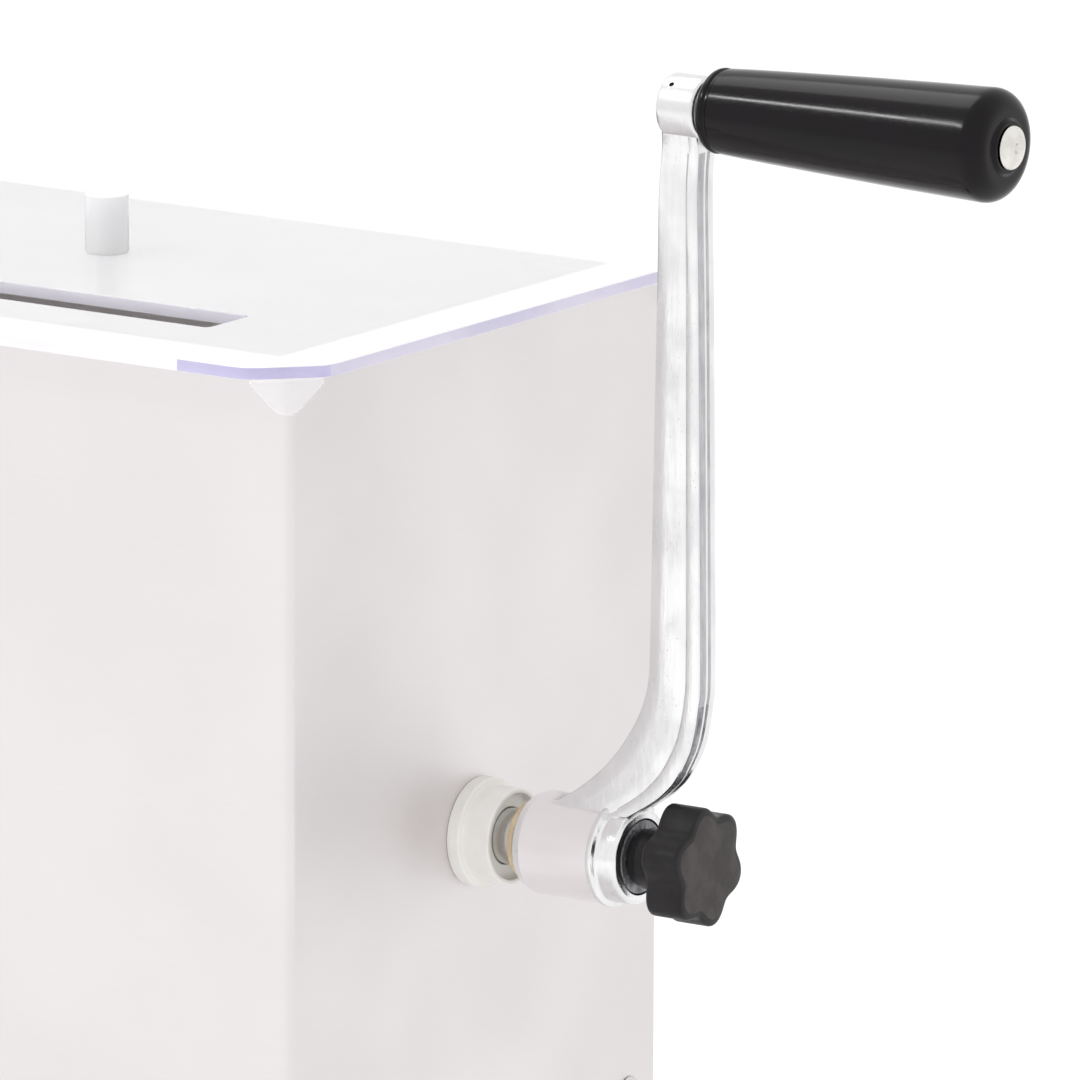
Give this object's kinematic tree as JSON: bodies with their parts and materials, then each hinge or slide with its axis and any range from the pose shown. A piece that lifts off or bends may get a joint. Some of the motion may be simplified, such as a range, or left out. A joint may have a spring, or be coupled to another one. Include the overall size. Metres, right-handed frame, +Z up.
{
  "type": "hand-cranked meat mixer",
  "caption": "Hand-cranked meat mixer: steel tank on legs, paddle shaft in plastic bushes, cast crank with a turning grip, star clamping knob and a loose clear lid with a pouring slot.",
  "frame": {"origin": "on the floor plane under the centre of the whole machine's box, crank standing up", "axes": "+X along the paddle shaft towards the crank, +Y across the tank away from the pouring slot, +Z up"},
  "size_m": [0.534, 0.233, 0.537],
  "materials": {
    "satin_steel": "satin stainless sheet, fine grain",
    "bright_steel": "bright turned stainless steel",
    "cast_metal": "bright polished casting",
    "black_plastic": "smooth moulded, slightly worn gloss",
    "clear_plastic": "clear polycarbonate with faint lilac cut edges",
    "white_plastic": "warm white turned plastic",
    "black_rubber": "matt",
    "brass": "turned, slightly dull"
  },
  "bodies": {
    "stand": {"tank_shell": "satin_steel", "trough_liner": "satin_steel", "leg_1": "satin_steel", "leg_2": "satin_steel", "leg_3": "satin_steel", "leg_4": "satin_steel", "foot_1": "black_rubber", "foot_2": "black_rubber", "foot_3": "black_rubber", "foot_4": "black_rubber", "foot_screw_1": "bright_steel", "foot_screw_2": "bright_steel", "foot_screw_3": "bright_steel", "foot_screw_4": "bright_steel", "rivet_1": "bright_steel", "rivet_2": "bright_steel", "rivet_3": "bright_steel", "rivet_4": "bright_steel", "rivet_5": "bright_steel", "rivet_6": "bright_steel", "rivet_7": "bright_steel", "rivet_8": "bright_steel", "crank_side_bush": "white_plastic", "crank_side_bush_ring": "white_plastic", "far_side_bush": "white_plastic", "far_side_bush_ring": "white_plastic"},
    "rotor": {"mixing_shaft": "bright_steel", "crank_arm": "cast_metal", "end_collar": "bright_steel", "end_collar_screw": "bright_steel", "thrust_washer": "brass", "hub_washer": "bright_steel", "grip_pin": "bright_steel", "grip_washer": "bright_steel", "paddle_1": "bright_steel", "paddle_2": "bright_steel", "paddle_3": "bright_steel", "paddle_4": "bright_steel", "paddle_5": "bright_steel", "paddle_6": "bright_steel", "paddle_nut_1": "bright_steel", "paddle_nut_2": "bright_steel", "paddle_nut_3": "bright_steel", "paddle_nut_4": "bright_steel", "paddle_nut_5": "bright_steel", "paddle_nut_6": "bright_steel"},
    "grip": {"grip": "black_plastic"},
    "clamp_stud": {"knob_stud": "bright_steel"},
    "clamp_knob": {"star_knob": "black_plastic"},
    "lid": {"lid": "clear_plastic", "lid_knob": "clear_plastic", "lid_knob_screw": "clear_plastic", "corner_tab_1": "clear_plastic", "corner_tab_2": "clear_plastic", "corner_tab_3": "clear_plastic", "corner_tab_4": "clear_plastic"}
  },
  "joints": [
    {"name": "crank_spin", "type": "hinge", "parent": "stand", "child": "rotor", "pos_m": [0.0658, 0, 0.275], "axis": [1, 0, 0], "continuous": true},
    {"name": "grip_spin", "type": "hinge", "parent": "rotor", "child": "grip", "pos_m": [0.0658, 0, 0.5187], "axis": [1, 0, 0], "continuous": true},
    {"name": "knob_slide", "type": "slide", "parent": "rotor", "child": "clamp_stud", "axis": [1, 0, 0], "range_m": [0, 0.005]},
    {"name": "knob_turn", "type": "hinge", "parent": "clamp_stud", "child": "clamp_knob", "pos_m": [0.0658, 0, 0.275], "axis": [1, 0, 0], "range_deg": [0, 1440]},
    {"name": "lid_lift", "type": "slide", "parent": "stand", "child": "lid", "axis": [0, 0, 1], "range_m": [0, 0.12]}
  ],
  "couplings": [
    {"joint": "knob_slide", "follows": "knob_turn", "m_per_rad": 0.00019894}
  ]
}
